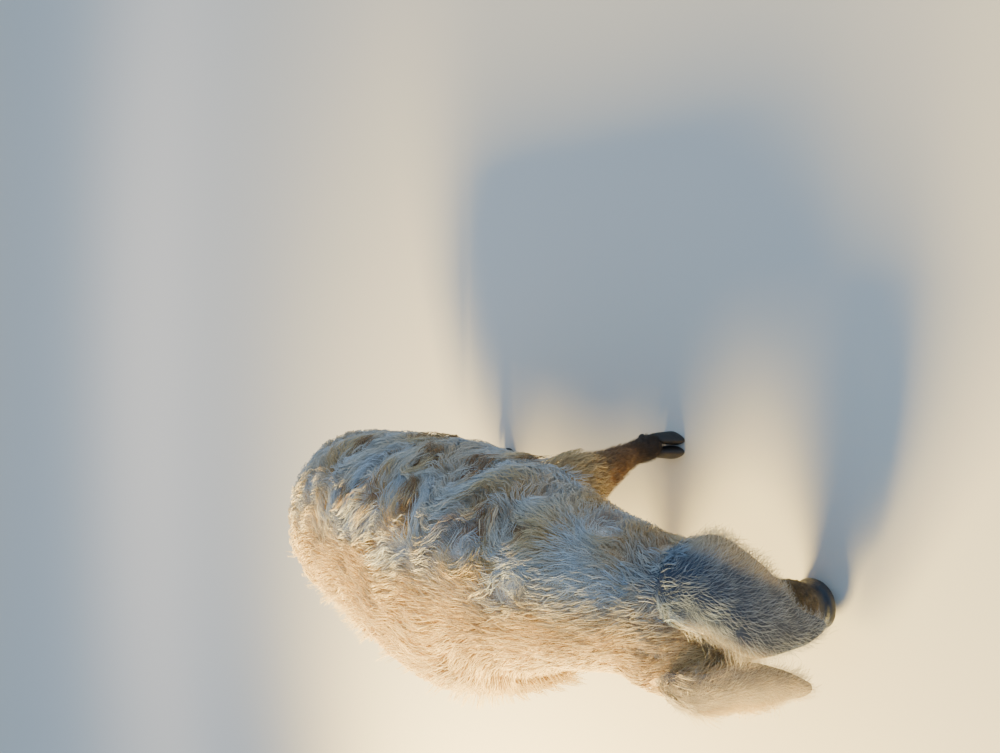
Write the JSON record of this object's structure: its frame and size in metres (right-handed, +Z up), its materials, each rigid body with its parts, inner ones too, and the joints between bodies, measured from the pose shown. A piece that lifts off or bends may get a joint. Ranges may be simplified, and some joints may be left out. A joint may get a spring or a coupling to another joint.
{
  "type": "mangalica pig",
  "caption": "Still, life-size mangalica pig standing with its head down and snout on the floor, lop ears hanging over its face and a long coat of blond locks.",
  "frame": {"origin": "centre of the bounding box on the floor, under the belly", "axes": "+X forwards, from the tail to the snout; +Y to the pig's left; +Z up from the floor"},
  "size_m": [1.683, 0.6345, 0.7304],
  "materials": {
    "coat": "long wavy blond hair, matt",
    "skin": "slate-dark bare skin, slightly moist",
    "horn": "dark hoof horn, satin",
    "eye": "wet dark brown eye"
  },
  "bodies": {
    "root": {"claw_foreleg_left_inner": "horn", "claw_foreleg_left_outer": "horn", "claw_foreleg_right_inner": "horn", "claw_foreleg_right_outer": "horn", "claw_hindleg_left_inner": "horn", "claw_hindleg_left_outer": "horn", "claw_hindleg_right_inner": "horn", "claw_hindleg_right_outer": "horn", "dewclaw_foreleg_left_inner": "horn", "dewclaw_foreleg_left_outer": "horn", "dewclaw_foreleg_right_inner": "horn", "dewclaw_foreleg_right_outer": "horn", "dewclaw_hindleg_left_inner": "horn", "dewclaw_hindleg_left_outer": "horn", "dewclaw_hindleg_right_inner": "horn", "dewclaw_hindleg_right_outer": "horn", "ear_left": "coat", "ear_right": "coat", "eye_left": "eye", "eye_right": "eye", "foreleg_left": "coat", "foreleg_right": "coat", "head": "coat", "hindleg_left": "coat", "hindleg_right": "coat", "lower_jaw": "coat", "neck": "coat", "snout": "skin", "tail": "coat", "torso": "coat"}
  },
  "joints": []
}
